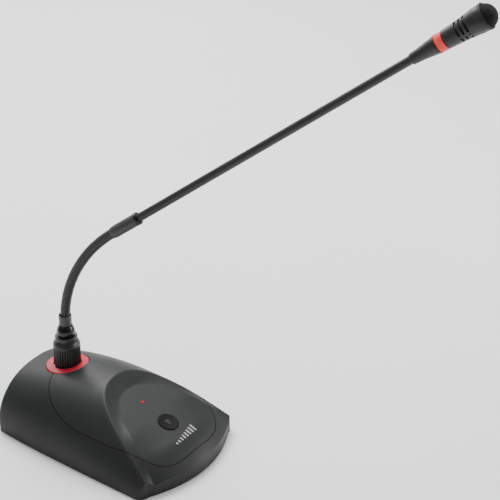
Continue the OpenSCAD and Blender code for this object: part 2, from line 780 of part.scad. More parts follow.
module flex_root() {
    color(black) {
        difference() {
            union() {
                at_plug() translate([0, 0, core_low]) cylinder(r = core_r, h = core_top - core_low);
                flex_link(0, joint_s(1), false, true);
            }
            at_plug() translate([0, 0, core_low - 1]) cylinder(r = bore_r, h = flex_z - core_low + 2);
            on_chord(0, joint_s(1)) cylinder(r = bore_r, h = chord(0, joint_s(1)));
        }
        link_wire(0, joint_s(1), cup_clear);
    }
}
module flex_link_n(k) {
    color(black) {
        flex_link(joint_s(k), joint_s(k + 1), true, true);
        link_wire(joint_s(k), joint_s(k + 1), cup_clear);
    }
}
module flex_tip() {
    color(black) {
        flex_link(joint_s(joint_count), arc_len + 4, true, false);
        link_wire(joint_s(joint_count), arc_len, 0);
    }
}

// ---- rod ----
ferrule_len = 27;
module upper_ferrule() {
    color(black) on_rod(0) rotate_extrude() polygon([
        [4.35, 0], [4.6, 0], [5, 3], [5, ferrule_len - 2.2], [rod_r + 0.05, ferrule_len - 2.2],
        [rod_r + 0.05, 9], [4.35, 8.4]]);
}

module ferrule_ring() {
    color(black) on_rod(ferrule_len - 2.1) rotate_extrude() polygon([
        [rod_r + 0.05, 0], [5.2, 0], [5.3, 0.4], [5.3, 1.5], [4.9, 2.1], [rod_r + 0.05, 2.1]]);
}

rod_start = 9.4;
head_start = ferrule_len + rod_len;
module rod_tube() {
    color(black) on_rod(rod_start) tube(rod_r, rod_r - 0.8, 0, head_start + 7 - rod_start);
}

module mic_cable() {
    color(rubber_black) on_rod(0.5) cylinder(r = wire_r, h = head_start + capsule_z - 0.6);
}

// ---- head; heights are measured from the end of the rod ----
cone_len = 22.2;
band_len = 8;
body_len = 31.4;
band_z = cone_len;
body_z = cone_len + band_len;
rim_z = body_z + body_len;
slot_z = [41.4, 45.2, 49];
slot_h = 1.3;
capsule_z = rim_z - 8.5;
capsule_r = 4.85;
holder_z = rim_z - 9;
holder_t = 5;
foam_z = rim_z - 1.9;
foam_t = 4.4;
bridge_deg = 12;        // width of the bars between the slots
bridge_at = 77;         // direction of the first bar

module on_head(t) {
    on_rod(head_start + t) children();
}

module head_cone() {
    color(black) on_head(0) rotate_extrude() polygon([
        [rod_r + 0.05, 0], [4.1, 0], [4.45, 0.4], [4.6, 3], [5.0, 8], [5.6, 13], [6.3, 18],
        [6.9, cone_len], [5.4, cone_len], [5.2, 18], [4.2, 12], [rod_r + 0.05, 9]]);
}

module head_light_ring() {
    color(ring_red) on_head(band_z) tube(band_r, 5.45, 0.02, band_len - 0.02);
}

module head_board() {
    color(board_green) on_head(band_z + 3) {
        tube(5.2, 1.8, 0, 1);
        for (a = [0 : 90 : 270]) rotate(a) translate([2.6, -0.7, 1]) cube([1.6, 1.4, 0.8]);
    }
}

// Trumpet-shaped body with a spigot below, open to the sides through rows of slots.
module head_body() {
    color(black) on_head(0) rotate(bridge_at) difference() {
        rotate_extrude() polygon([
            [4.8, body_z - 2], [5.4, body_z - 2], [5.4, body_z + 0.02], [7.1, body_z + 0.02],
            [7.3, body_z + 0.4], [7.6, body_z + 6], [8.1, body_z + 13], [8.9, body_z + 20],
            [9.7, body_z + 26], [10, rim_z], [8.8, rim_z], [8.5, body_z + 26], [7.7, body_z + 20],
            [6.9, body_z + 13], [6.4, body_z + 6], [6.1, body_z + 2], [4.8, body_z + 2]]);
        for (z = slot_z, a = [0, 120, 240]) rotate(a + bridge_deg / 2)
            translate([0, 0, z - slot_h / 2])
                rotate_extrude(angle = 120 - bridge_deg) translate([5, 0]) square([8, slot_h]);
    }
}

module slot_screen() {
    color([0.3, 0.3, 0.3]) on_head(0) tube(6.3, 6.05, body_z + 7, slot_z[2] + 3);
}

module capsule_holder() {
    color(rubber_black) on_head(0) difference() {
        translate([0, 0, holder_z]) cylinder(r = 7.9, h = holder_t);
        translate([0, 0, holder_z - 1]) cylinder(r = capsule_r + 0.05, h = holder_t + 3);
    }
}

module mic_capsule() {
    color(nickel) on_head(capsule_z) cylinder(r = capsule_r, h = 6);
}

module foam_disc() {
    color(rubber_black) on_head(foam_z) cylinder(r = 8.4, h = foam_t);
}

module grille_rim() {
    color(black) on_head(rim_z) rotate_extrude() polygon([
        [8.8, 0.02], [rim_r - 0.3, 0.02], [rim_r, 0.4], [rim_r, 1.8], [rim_r - 0.4, 2.3], [9.6, 2.3],
        [9.6, 1.2], [8.8, 1.2]]);
}

// Woven dome: a thin spherical cap.
dome_base = 1.22;
dome_h = 8.4;
dome_half = 9.5;
dome_t = 0.6;
dome_r = (dome_half * dome_half + dome_h * dome_h) / (2 * dome_h);
module grille_dome() {
    color([0.16, 0.16, 0.17]) on_head(rim_z + dome_base) intersection() {
        translate([0, 0, dome_h - dome_r]) difference() {
            sphere(r = dome_r);
            sphere(r = dome_r - dome_t);
        }
        cylinder(r = dome_half + 0.05, h = 20);
    }
}

base_shell();
top_cover();
bottom_plate();
rubber_pad();
base_screws();
ballast_plate();
ballast_screws();
socket_bracket();
bracket_screws();
socket_shell();
socket_insert();
socket_contacts();
socket_screws();
ring_board();
light_ring();
circuit_board();
board_screws();
switch_body();
status_led();
output_shell();
output_insert();
output_pins();
output_screws();
socket_leads();
output_leads();
talk_button();
switch_plunger();
plug_shell();
plug_insert();
plug_pins();
plug_lead();
knurled_sleeve();
clamp_nut();
cable_boot();
lower_ferrule();
flex_root();
flex_link_n(1);  // flex_link_1
flex_link_n(2);  // flex_link_2
flex_link_n(3);  // flex_link_3
flex_link_n(4);  // flex_link_4
flex_link_n(5);  // flex_link_5
flex_link_n(6);  // flex_link_6
flex_link_n(7);  // flex_link_7
flex_tip();
upper_ferrule();
ferrule_ring();
rod_tube();
mic_cable();
head_cone();
head_light_ring();
head_board();
head_body();
slot_screen();
capsule_holder();
mic_capsule();
foam_disc();
grille_rim();
grille_dome();
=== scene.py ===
"""Looks of the gooseneck podium microphone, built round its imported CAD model.

Shapes are worked out in millimetres, as in the CAD source, and scaled to metres when a
mesh is made. +Z is up, the person speaking sits at -Y, and the origin is the middle of
the base's underside.
"""
import json
import math

import bpy
import numpy as np
from mathutils import Matrix, Vector


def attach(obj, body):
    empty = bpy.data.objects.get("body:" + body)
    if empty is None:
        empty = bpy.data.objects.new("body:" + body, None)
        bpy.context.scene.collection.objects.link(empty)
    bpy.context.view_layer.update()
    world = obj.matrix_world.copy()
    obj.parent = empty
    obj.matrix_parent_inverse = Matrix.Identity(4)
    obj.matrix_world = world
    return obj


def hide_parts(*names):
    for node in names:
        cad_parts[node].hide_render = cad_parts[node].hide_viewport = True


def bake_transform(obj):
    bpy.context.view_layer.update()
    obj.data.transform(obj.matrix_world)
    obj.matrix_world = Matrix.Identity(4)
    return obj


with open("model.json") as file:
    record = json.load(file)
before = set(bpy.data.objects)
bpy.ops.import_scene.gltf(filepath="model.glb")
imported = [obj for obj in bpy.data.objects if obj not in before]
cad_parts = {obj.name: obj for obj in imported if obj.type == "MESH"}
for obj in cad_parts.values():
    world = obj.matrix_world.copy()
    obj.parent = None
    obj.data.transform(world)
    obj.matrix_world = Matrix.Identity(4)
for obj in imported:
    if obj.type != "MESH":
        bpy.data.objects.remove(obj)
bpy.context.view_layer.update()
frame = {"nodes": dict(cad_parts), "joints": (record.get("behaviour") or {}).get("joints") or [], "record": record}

MM = 0.001
TAU = 2 * math.pi
joints = {j["name"]: j for j in frame["joints"]}


# ---------------------------------------------------------------- camera and light
CAMERA_TURN = math.radians(-55.49)
CAMERA_RISE = math.radians(28.99)
CAMERA_DISTANCE = 1.54012
CAMERA_LENS = 136.8
AIM_RIGHT = 0.10734
AIM_UP = 0.15042


def make_camera():
    """The camera looks back along its own axis at a point to the right of and above the base."""
    back = Vector((math.sin(CAMERA_TURN) * math.cos(CAMERA_RISE),
                   -math.cos(CAMERA_TURN) * math.cos(CAMERA_RISE), math.sin(CAMERA_RISE)))
    right = Vector((math.cos(CAMERA_TURN), math.sin(CAMERA_TURN), 0))
    up = back.cross(right)
    data = bpy.data.cameras.new("camera")
    data.lens = CAMERA_LENS
    camera = bpy.data.objects.new("camera", data)
    bpy.context.scene.collection.objects.link(camera)
    turn = Matrix((right, up, back)).transposed().to_4x4()
    place = CAMERA_DISTANCE * back + AIM_RIGHT * right + AIM_UP * up
    camera.matrix_world = Matrix.Translation(place) @ turn
    bpy.context.scene.camera = camera


def area_light(name, place, aim, size, power):
    data = bpy.data.lights.new(name, "AREA")
    data.shape = "RECTANGLE"
    data.size, data.size_y = size
    data.energy = power
    light = bpy.data.objects.new(name, data)
    bpy.context.scene.collection.objects.link(light)
    light.location = place
    light.rotation_euler = (Vector(aim) - Vector(place)).to_track_quat("-Z", "Y").to_euler()


def make_lights():
    world = bpy.data.worlds.new("studio")
    bpy.context.scene.world = world
    world.use_nodes = True
    tree = world.node_tree
    sky = tree.nodes["Background"]
    sky.inputs["Color"].default_value = (1, 1, 1, 1)
    # The studio is brightest behind and above the object, and dim on the near side.
    aim = tree.nodes.new("ShaderNodeVectorMath")
    aim.operation = "DOT_PRODUCT"
    aim.inputs[1].default_value = Vector((0.62, 0.3, 0.72)).normalized()
    tree.links.new(tree.nodes.new("ShaderNodeTexCoord").outputs["Generated"], aim.inputs[0])
    fade = tree.nodes.new("ShaderNodeMapRange")
    fade.interpolation_type = "SMOOTHSTEP"
    for key, value in (("From Min", -0.55), ("From Max", 0.85), ("To Min", 0.13), ("To Max", 0.88)):
        fade.inputs[key].default_value = value
    tree.links.new(aim.outputs["Value"], fade.inputs["Value"])
    tree.links.new(fade.outputs["Result"], sky.inputs["Strength"])
    area_light("overhead", (0.52, 0.5, 1.4), (0, 0, 0.05), (1.0, 0.9), 35)
    area_light("far_side", (0.75, 1.2, 0.9), (0, 0, 0.2), (0.7, 0.5), 7)
    area_light("front_fill", (0.85, -1.05, 0.45), (0, 0, 0.05), (0.8, 0.5), 9)
    area_light("near_side", (-1.3, 0.2, 1.1), (0, 0, 0.15), (0.25, 0.9), 2.2)


# ---------------------------------------------------------------- materials
class Shader:
    """A node material under construction."""

    def __init__(self, name):
        self.material = bpy.data.materials.new(name)
        self.material.use_nodes = True
        self.tree = self.material.node_tree
        self.surface = self.tree.nodes["Principled BSDF"]
        self.place = self.add("ShaderNodeTexCoord").outputs["Object"]

    def add(self, kind, **values):
        node = self.tree.nodes.new(kind)
        for key, value in values.items():
            if hasattr(node, key):
                setattr(node, key, value)
            else:
                node.inputs[key.replace("_", " ")].default_value = value
        return node

    def link(self, source, target):
        self.tree.links.new(source, target)

    def noise(self, scale, detail=3.0, roughness=0.55, stretch=None):
        node = self.add("ShaderNodeTexNoise", Scale=scale, Detail=detail, Roughness=roughness)
        if stretch:
            mapping = self.add("ShaderNodeMapping")
            mapping.inputs["Scale"].default_value = stretch
            self.link(self.place, mapping.inputs["Vector"])
            self.link(mapping.outputs["Vector"], node.inputs["Vector"])
        else:
            self.link(self.place, node.inputs["Vector"])
        return node.outputs["Fac"]

    def cells(self, scale):
        node = self.add("ShaderNodeTexVoronoi", Scale=scale)
        self.link(self.place, node.inputs["Vector"])
        return node.outputs["Distance"]

    def ramp(self, source, low, high, start=0.3, end=0.7):
        """A value or colour that runs from low to high as the source goes from start to end."""
        node = self.add("ShaderNodeValToRGB")
        first, last = node.color_ramp.elements
        first.position, last.position = start, end
        first.color = (*low, 1) if len(low) == 3 else low
        last.color = (*high, 1) if len(high) == 3 else high
        self.link(source, node.inputs["Fac"])
        return node.outputs["Color"]

    def band(self, source, low, high, start=0.3, end=0.7):
        """The same for a plain number, such as a roughness."""
        node = self.add("ShaderNodeMapRange", From_Min=start, From_Max=end, To_Min=low, To_Max=high)
        self.link(source, node.inputs["Value"])
        return node.outputs["Result"]

    def mix(self, factor, first, second):
        node = self.add("ShaderNodeMix", data_type="RGBA")
        sockets = {s.identifier: s for s in node.inputs}
        self.link(factor, sockets["Factor_Float"])
        for value, key in ((first, "A_Color"), (second, "B_Color")):
            if isinstance(value, tuple):
                sockets[key].default_value = (*value, 1)
            else:
                self.link(value, sockets[key])
        return [s for s in node.outputs if s.identifier == "Result_Color"][0]

    def bump(self, height, depth, strength=1.0, under=None):
        node = self.add("ShaderNodeBump", Strength=strength, Distance=depth)
        self.link(height, node.inputs["Height"])
        if under:
            self.link(under, node.inputs["Normal"])
        return node.outputs["Normal"]

    def set(self, **values):
        for key, value in values.items():
            socket = self.surface.inputs[key.replace("_", " ")]
            if isinstance(value, bpy.types.NodeSocket):
                self.link(value, socket)
            else:
                socket.default_value = value
        return self.material


def moulded(name, shade, gloss, grain=0.35, depth=0.018, polish=0.06, shine=0.36):
    """Moulded plastic: spark-eroded grain, faint mottling and rubbed, shinier patches."""
    s = Shader(name)
    fine = s.noise(1 / (grain * MM), 2.0, 0.6)
    pits = s.cells(0.55 / (grain * MM))
    broad = s.noise(38, 4.0, 0.6)
    dark = tuple(0.86 * c for c in shade)
    light = tuple(1.14 * c for c in shade)
    tone = s.ramp(broad, dark, light, 0.35, 0.65)
    speck = s.band(s.noise(1900, 1.0, 0.5), 0, 0.22, 0.62, 0.75)
    tone = s.mix(speck, tone, tuple(1.5 * c + 0.01 for c in shade))
    rough = s.band(broad, gloss + polish, gloss - polish)
    relief = s.bump(fine, depth * MM, 0.7, under=s.bump(pits, depth * MM, 0.35))
    return s.set(Base_Color=tone, Roughness=rough, Normal=relief, Specular_IOR_Level=shine)


def coated(name, shade, gloss, metal=0.0, peel=0.01):
    """Painted or anodised metal: orange peel, tiny scratches and a slightly uneven gloss."""
    s = Shader(name)
    wave = s.noise(900, 2.0, 0.5)
    streak = s.noise(2600, 3.0, 0.6, stretch=(1, 1, 0.12))
    broad = s.noise(55, 3.0, 0.55)
    tone = s.ramp(broad, tuple(0.8 * c for c in shade), tuple(1.2 * c for c in shade))
    rough = s.band(s.noise(240, 4.0, 0.65), gloss - 0.06, gloss + 0.08)
    relief = s.bump(wave, peel * MM, 0.6, under=s.bump(streak, 0.004 * MM, 0.5))
    return s.set(Base_Color=tone, Roughness=rough, Normal=relief, Metallic=metal)


def bare_metal(name, shade, gloss, grain=(1, 1, 14)):
    """Plated or brushed metal: directional grain, dulled patches."""
    s = Shader(name)
    lines = s.noise(1400, 4.0, 0.7, stretch=grain)
    broad = s.noise(70, 3.0, 0.6)
    tone = s.ramp(broad, tuple(0.78 * c for c in shade), shade)
    rough = s.band(lines, gloss - 0.08, gloss + 0.12)
    return s.set(Base_Color=tone, Roughness=rough, Metallic=1.0,
                 Normal=s.bump(lines, 0.006 * MM, 0.5))


def rubbery(name, shade):
    s = Shader(name)
    fine = s.noise(3000, 3.0, 0.7)
    broad = s.noise(60, 3.0, 0.6)
    tone = s.ramp(broad, tuple(0.75 * c for c in shade), tuple(1.3 * c for c in shade))
    return s.set(Base_Color=tone, Roughness=s.band(broad, 0.75, 0.92),
                 Normal=s.bump(fine, 0.03 * MM, 0.8), Specular_IOR_Level=0.3)


def lit_plastic(name, shade, deep, glow):
    """Translucent red plastic with a soft light behind it and faint moulding swirls."""
    s = Shader(name)
    swirl = s.noise(160, 4.0, 0.55)
    fine = s.noise(2400, 2.0, 0.5)
    tone = s.ramp(swirl, deep, shade, 0.3, 0.62)
    return s.set(Base_Color=tone, Roughness=s.band(swirl, 0.46, 0.36), Specular_IOR_Level=0.28,
                 Normal=s.bump(fine, 0.008 * MM, 0.5), Emission_Color=tone,
                 Emission_Strength=glow, Subsurface_Weight=0.2,
                 Subsurface_Radius=(0.004, 0.001, 0.001))


def circuit(name):
    """Green solder mask with copper tracks showing through it."""
    s = Shader(name)
    wave = s.add("ShaderNodeTexBrick", Scale=160.0)
    s.link(s.place, wave.inputs["Vector"])
    wave.inputs["Color1"].default_value = (0.012, 0.14, 0.05, 1)
    wave.inputs["Color2"].default_value = (0.014, 0.17, 0.06, 1)
    wave.inputs["Mortar"].default_value = (0.05, 0.28, 0.1, 1)
    fine = s.noise(1500, 2.0, 0.5)
    return s.set(Base_Color=wave.outputs["Color"], Roughness=s.band(fine, 0.3, 0.42),
                 Normal=s.bump(wave.outputs["Fac"], 0.02 * MM, 0.6))


def foam(name):
    s = Shader(name)
    pores = s.cells(1500)
    tone = s.ramp(pores, (0.003, 0.003, 0.003), (0.012, 0.012, 0.012), 0.15, 0.6)
    return s.set(Base_Color=tone, Roughness=s.band(pores, 0.85, 1.0, 0.1, 0.8),
                 Normal=s.bump(pores, 0.2 * MM, 1.0), Specular_IOR_Level=0.1)


def printed(name, shade):
    """Screen-printed ink: slightly uneven cover, a little gloss."""
    s = Shader(name)
    fine = s.noise(3200, 3.0, 0.6)
    tone = s.ramp(fine, tuple(0.82 * c for c in shade), shade, 0.3, 0.55)
    return s.set(Base_Color=tone, Roughness=s.band(fine, 0.42, 0.55),
                 Normal=s.bump(fine, 0.01 * MM, 0.6))


look = {
    "shell_plastic": moulded("shell_plastic", (0.0115, 0.0122, 0.0126), 0.47, shine=0.26),
    "cover_plastic": moulded("cover_plastic", (0.0125, 0.0133, 0.0136), 0.46, shine=0.28),
    "rubber": rubbery("rubber", (0.022, 0.022, 0.022)),
    "sheet_steel": bare_metal("sheet_steel", (0.56, 0.57, 0.59), 0.42, (14, 1, 1)),
    "ballast": coated("ballast", (0.16, 0.16, 0.165), 0.6, 0.7, 0.05),
    "screw_steel": bare_metal("screw_steel", (0.52, 0.52, 0.54), 0.36, (1, 1, 1)),
    "nickel": bare_metal("nickel", (0.62, 0.6, 0.57), 0.27),
    "contact_brass": bare_metal("contact_brass", (0.82, 0.58, 0.24), 0.25),
    "insulator": moulded("insulator", (0.02, 0.02, 0.021), 0.42, 0.2, 0.01),
    "board": circuit("board"),
    "ring_red": lit_plastic("ring_red", (0.50, 0.020, 0.045), (0.36, 0.012, 0.03), 0.05),
    "band_red": lit_plastic("band_red", (0.80, 0.075, 0.065), (0.64, 0.05, 0.045), 0.28),
    # Painted shade: a dark red without glow, for the strips that stand in for shaded grooves at the head band's
    # ends.
    "band_painted_shade": lit_plastic("band_painted_shade", (0.13, 0.010, 0.012), (0.07, 0.006, 0.008), 0.0),
    "led_red": lit_plastic("led_red", (0.5, 0.01, 0.015), (0.3, 0.008, 0.01), 0.5),
    "button_plastic": moulded("button_plastic", (0.005, 0.005, 0.0055), 0.5, 0.22, 0.008,
                              shine=0.1),
    "metal_black": coated("metal_black", (0.011, 0.011, 0.012), 0.40, 0.0),
    # Painted highlight: the ferrules' black metal has a base colour about three times lighter than metal_black,
    # standing in for the highlights they catch.
    "ferrule_painted_sheen_black": coated("ferrule_painted_sheen_black", (0.034, 0.034, 0.035), 0.42, 0.0),
    "flex_black": coated("flex_black", (0.010, 0.0105, 0.0115), 0.36, 0.0, 0.006),
    "boot_black": moulded("boot_black", (0.007, 0.007, 0.0075), 0.16, 0.5, 0.004, 0.05),
    "lead_red": coated("lead_red", (0.5, 0.03, 0.03), 0.4),
    "lead_black": rubbery("lead_black", (0.02, 0.02, 0.02)),
    "foam": foam("foam"),
    "mesh_black": coated("mesh_black", (0.007, 0.007, 0.0075), 0.58, 0.0, 0.004),
    "print_grey": printed("print_grey", (0.34, 0.34, 0.34)),
    "print_dim": printed("print_dim", (0.035, 0.035, 0.036)),
}


# ---------------------------------------------------------------- mesh tools
def add_mesh(name, points, faces, slot, body=None, matrix=None, sharp=38, replaces=()):
    """A named piece from points in millimetres; matrix places it in the row frame."""
    mesh = bpy.data.meshes.new(name)
    mesh.from_pydata([(p[0] * MM, p[1] * MM, p[2] * MM) for p in points], [],
                     [list(f) for f in faces])
    if matrix is not None:
        mesh.transform(matrix)
    obj = bpy.data.objects.new(name, mesh)
    bpy.context.scene.collection.objects.link(obj)
    dress(obj, slot, sharp)
    if body:
        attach(obj, body)
    if replaces:
        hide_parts(*replaces)
    return obj


def dress(obj, slot, sharp=38):
    """Gives the piece the material of its slot and smooth shading with sharp corners kept."""
    obj.data.materials.clear()
    obj.data.materials.append(look[slot])
    obj.data.shade_smooth()
    obj.data.set_sharp_from_angle(angle=math.radians(sharp))


def carve(obj, cutter, operation="DIFFERENCE"):
    """Applies a Boolean between two closed meshes and removes the cutter."""
    modifier = obj.modifiers.new("carve", "BOOLEAN")
    modifier.operation = operation
    modifier.solver = "MANIFOLD"
    modifier.object = cutter
    graph = bpy.context.evaluated_depsgraph_get()
    result = bpy.data.meshes.new_from_object(obj.evaluated_get(graph))
    obj.modifiers.clear()
    if not result.polygons:
        raise RuntimeError(f"the cut of {obj.name} with {cutter.name} left nothing")
    obj.data = result
    bpy.data.objects.remove(cutter)


def soften(corners, radius=0.3, steps=4):
    """Rounds the corners of a closed outline; points on the axis stay as they are."""
    count = len(corners)
    result = []
    for i in range(count):
        here = Vector(corners[i])
        if corners[i][0] <= 0:
            result.append(tuple(here))
            continue
        back = Vector(corners[i - 1]) - here
        ahead = Vector(corners[(i + 1) % count]) - here
        reach = min(radius, 0.42 * back.length, 0.42 * ahead.length)
        start, end = here + back.normalized() * reach, here + ahead.normalized() * reach
        for k in range(steps + 1):
            t = k / steps
            result.append(tuple(start.lerp(here, t).lerp(here.lerp(end, t), t)))
    return result


def spin(profile, turns):
    """Points and faces of a closed body of revolution about +Z; profile is (radius, height)."""
    points, rings = [], []
    for r, z in profile:
        if r <= 1e-9:
            rings.append([len(points)])
            points.append((0, 0, z))
            continue
        rings.append(list(range(len(points), len(points) + turns)))
        points += [(r * math.cos(TAU * k / turns), r * math.sin(TAU * k / turns), z)
                   for k in range(turns)]
    faces = []
    for low, high in zip(rings, rings[1:] + rings[:1]):
        if len(low) == 1 and len(high) == 1:
            continue
        for k in range(turns):
            n = (k + 1) % turns
            if len(low) == 1:
                faces.append((low[0], high[n], high[k]))
            elif len(high) == 1:
                faces.append((low[k], low[n], high[0]))
            else:
                faces.append((low[k], low[n], high[n], high[k]))
    return points, faces


def lathe(name, profile, slot, body, matrix, turns=96, radius=0.3, replaces=()):
    """A turned piece. Its profile runs counter-clockwise with the radius to the right."""
    points, faces = spin(soften(profile, radius), turns)
    return add_mesh(name, points, faces, slot, body, matrix, replaces=replaces)


def prism(name, outline, z0, z1):
    """A closed upright prism, used as a cutter."""
    n = len(outline)
    points = [(x, y, z0) for x, y in outline] + [(x, y, z1) for x, y in outline]
    faces = [tuple(range(n - 1, -1, -1)), tuple(range(n, 2 * n))]
    faces += [(k, (k + 1) % n, n + (k + 1) % n, n + k) for k in range(n)]
    return add_mesh(name, points, faces, "shell_plastic")


def round_cutter(name, r, z0, z1, matrix, turns=128):
    points, faces = spin([(0, z0), (r, z0), (r, z1), (0, z1)], turns)
    return add_mesh(name, points, faces, "shell_plastic", matrix=matrix)


def moved(x, y, z):
    return Matrix.Translation(Vector((x, y, z)) * MM)


# ---------------------------------------------------------------- the base's surface
# The same measures and formulas as in the CAD source, so that both surfaces agree.
REAR_Y, REAR_HALF, FRONT_HALF, REAR_H, PEAK_H = 85.0, 47.5, 61.6, 45.5, 58.0
WALL, BOW, CORNER_R, SEAM_GAP = 2.5, 14.6, 8.0, 0.4
CORNER_Y, EDGE_FILLET, FLOOR_Z, SKIRT_Z = -72.0, 3.0, 1.0, 3.0
ARCH_Y, PANEL_Y, PANEL_H, ARCH_RISE = 0.5, -10.4, 49.2, 0.862
PANEL_SLOPE, ROLL_D, ROLL_K, ARCH_K, PANEL_K = 21.0, 56.0, 0.0195, 10.2, 7.7
FRONT_W = FRONT_HALF - CORNER_R
PLUG_Y, RING_R, RING_IN, RING_T = 49.0, 17.4, 11.25, 3.0
RING_PROUD, RING_LEAN = 0.5, 0.06
BUTTON_D, BUTTON_R, LED_D, LED_R = 52.0, 8.4, 27.0, 1.5
TALK_MARK_DOWN, LEVEL_MARK_DOWN = 1.3, 16.5   # how far the marks sit below its middle
RIDGE_R = 0.9            # how softly the ridge round the panel is rounded


def share(t):
    return np.clip(t, 0, 1)


def ease(t):
    t = share(t)
    return t * t * (3 - 2 * t)


def along(y):
    return share((REAR_Y - y) / (REAR_Y - CORNER_Y))


def body_half(y):
    return REAR_HALF + (FRONT_HALF - REAR_HALF) * along(y) ** 0.6


def body_top(y):
    return REAR_H + (PEAK_H - REAR_H) * np.sin(math.pi / 2 * share((REAR_Y - y) / REAR_Y))


def hump_z(x, y, inset=0.0):
    """Height of the plain rounded body."""
    power = 2.35 - 0.9 * along(y) ** 1.6
    reach = np.minimum(1, np.abs(x) / (body_half(y) - inset))
    return SKIRT_Z + (body_top(y) - inset - SKIRT_Z) * (1 - reach ** power) ** (1 / power)


def panel_z(x, y):
    """Height of the panel's plane, which rolls down towards the bowed front edge."""
    d = PANEL_Y - (y - BOW * (x / FRONT_W) ** 2 * ease((-40 - y) / 26))
    fall = d * math.tan(math.radians(PANEL_SLOPE)) + ROLL_K * np.maximum(0, d - ROLL_D) ** 2
    return np.where(y > PANEL_Y, PANEL_H + ARCH_RISE * (y - PANEL_Y), PANEL_H - fall)


def arch_half(y):
    return ARCH_K * np.maximum(0, ARCH_Y - y) ** 0.4


def sharp_top_z(x, y, inset=0.0):
    """The hump, cut by the panel and by the sloping band round the panel."""
    w = np.abs(x)
    arch = arch_half(y)
    face = np.maximum(0, np.minimum(PANEL_K * np.maximum(0, PANEL_Y - y) ** 0.45, arch - 2))
    face = np.where(y > PANEL_Y, 0, face)
    t = share((w - face) / np.maximum(1e-6, arch - face))
    drop = inset * 1.07      # the inset is square to the panel, which slopes 21 degrees
    edge = (panel_z(face, y) - drop) * (1 - t) + hump_z(arch, y, inset) * t
    inside = np.where(w <= face, panel_z(x, y) - drop, edge)
    return np.where((y >= ARCH_Y) | (w >= arch), hump_z(x, y, inset), inside)


def top_z(x, y, inset=0.0):
    """The same with every ridge and hollow rounded, by averaging over a small disc.

    The disc shrinks to nothing towards the side and front edges.
    """
    reach = RIDGE_R * share((body_half(y) - inset - np.abs(x) - 0.4) / 7) * share((y + 84) / 6)
    total = sharp_top_z(x, y, inset)
    count = 1
    for ring in (0.5, 1.0):
        for k in range(8):
            a = TAU * (k + ring) / 8
            total = total + sharp_top_z(x + ring * reach * math.cos(a),
                                        y + ring * reach * math.sin(a), inset)
            count += 1
    return total / count


def row_half(y):
    front = np.maximum(0, CORNER_Y + CORNER_R - y)
    back = np.maximum(0, y - REAR_Y + EDGE_FILLET)
    return (body_half(y) - CORNER_R + np.sqrt(np.maximum(0, CORNER_R ** 2 - front ** 2))
            - EDGE_FILLET + np.sqrt(np.maximum(0, EDGE_FILLET ** 2 - back ** 2)))


def body_grid(rows, cols, inset):
    """Points of the top surface, row by row from the rear edge to the front."""
    back = REAR_Y - inset - EDGE_FILLET
    ys = np.concatenate([
        back + EDGE_FILLET * np.cos(np.radians(np.linspace(1, 90, 10))),
        np.linspace(back, CORNER_Y + CORNER_R, rows + 1)[1:],
        CORNER_Y + CORNER_R - (CORNER_R - inset) * np.sin(np.radians(np.linspace(4, 90, 16)))])
    w = (row_half(ys) - inset)[:, None]
    x = -w * np.cos(np.linspace(0, math.pi, cols + 1))[None, :]
    bow = (BOW * share((20 - ys) / (20 - CORNER_Y)) ** 1.5)[:, None]
    y = ys[:, None] - bow * (1 - (x / w) ** 2)
    drop = (EDGE_FILLET - np.sqrt(EDGE_FILLET ** 2
                                  - np.maximum(0, ys - REAR_Y + EDGE_FILLET) ** 2))[:, None]
    z = np.maximum(SKIRT_Z, top_z(x, y, inset) - drop)
    return np.stack([x, y, z], axis=-1)


def body_solid(name, rows, cols, inset, bottom):
    """Closed solid under the surface, standing on bottom."""
    grid = body_grid(rows, cols, inset)
    m, n = grid.shape[:2]
    top = grid.reshape(-1, 3)
    rim = ([(0, i) for i in range(n)] + [(j, n - 1) for j in range(1, m)]
           + [(m - 1, i) for i in range(n - 2, -1, -1)] + [(j, 0) for j in range(m - 2, 0, -1)])
    rim = [j * n + i for j, i in rim]
    low = [(top[k][0], top[k][1], bottom) for k in rim]
    faces = [(j * n + i, (j + 1) * n + i, (j + 1) * n + i + 1, j * n + i + 1)
             for j in range(m - 1) for i in range(n - 1)]
    count = len(rim)
    faces += [(rim[k], rim[(k + 1) % count], m * n + (k + 1) % count, m * n + k)
              for k in range(count)]
    faces.append(tuple(m * n + k for k in range(count)))
    return add_mesh(name, list(top) + low, faces, "shell_plastic")


SEAM_HALF, SEAM_MID, SEAM_FRONT, SEAM_BACK = 49.5, -15.0, 64.8, 66.0


def seam_outline(inset, steps=240):
    """The top cover's outline, an egg with a blunter front end."""
    outline = []
    for k in range(steps):
        c, s = math.cos(TAU * k / steps), math.sin(TAU * k / steps)
        power, reach = (2.7, SEAM_BACK) if s > 0 else (3.4, SEAM_FRONT)
        outline.append((math.copysign((SEAM_HALF - inset) * abs(c) ** (2 / power), c),
                        SEAM_MID + math.copysign((reach - inset) * abs(s) ** (2 / power), s)))
    return outline


def on_panel(d, up=0.0):
    """Frame on the panel's centre line at distance d before the origin, +Z along its normal."""
    z = float(panel_z(np.array(0.0), np.array(-d)))
    return (moved(0, -d, z) @ Matrix.Rotation(math.radians(PANEL_SLOPE), 4, "X")
            @ moved(0, up, 0))


LED_UP = (BUTTON_D - LED_D) / math.cos(math.radians(PANEL_SLOPE))
BUTTON_HOLE_R = BUTTON_R + 0.35
OUTPUT_Z, OUTPUT_HOLE_R = 22.0, 11.9


def hollow(name):
    shell = body_solid(name, 230, 200, 0, FLOOR_Z)
    carve(shell, body_solid("inner", 70, 60, WALL, FLOOR_Z - 2))
    return shell


